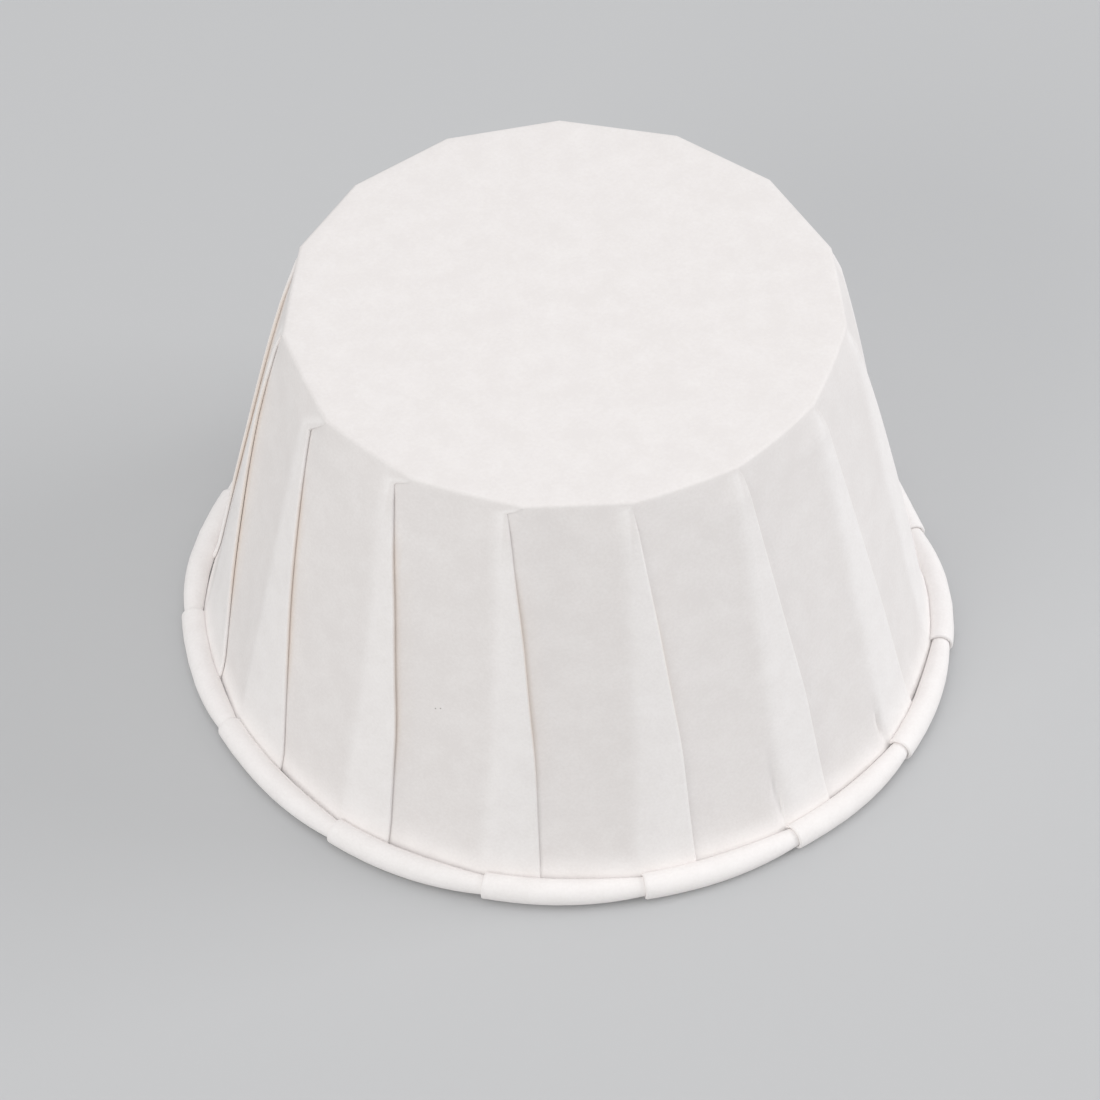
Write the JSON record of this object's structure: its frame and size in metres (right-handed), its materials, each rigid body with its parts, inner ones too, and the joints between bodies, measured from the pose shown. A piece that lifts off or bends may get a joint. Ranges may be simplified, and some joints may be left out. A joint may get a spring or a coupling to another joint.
{
  "type": "paper portion cup",
  "caption": "Pleated paper portion cup with a flat many-sided base, one-way knife pleats and an outward rolled rim, standing upside down on the rim.",
  "frame": {"origin": "centre of the mouth, on the plane that the rolled rim stands on", "axes": "+Z from the mouth to the base, so the base is on top as in the picture; -Y faces the viewer and +X is to the right"},
  "size_m": [0.0737, 0.0737, 0.0396],
  "materials": {
    "paper": "matte uncoated white paper"
  },
  "bodies": {
    "root": {"pleated_cup": "paper"}
  },
  "joints": []
}
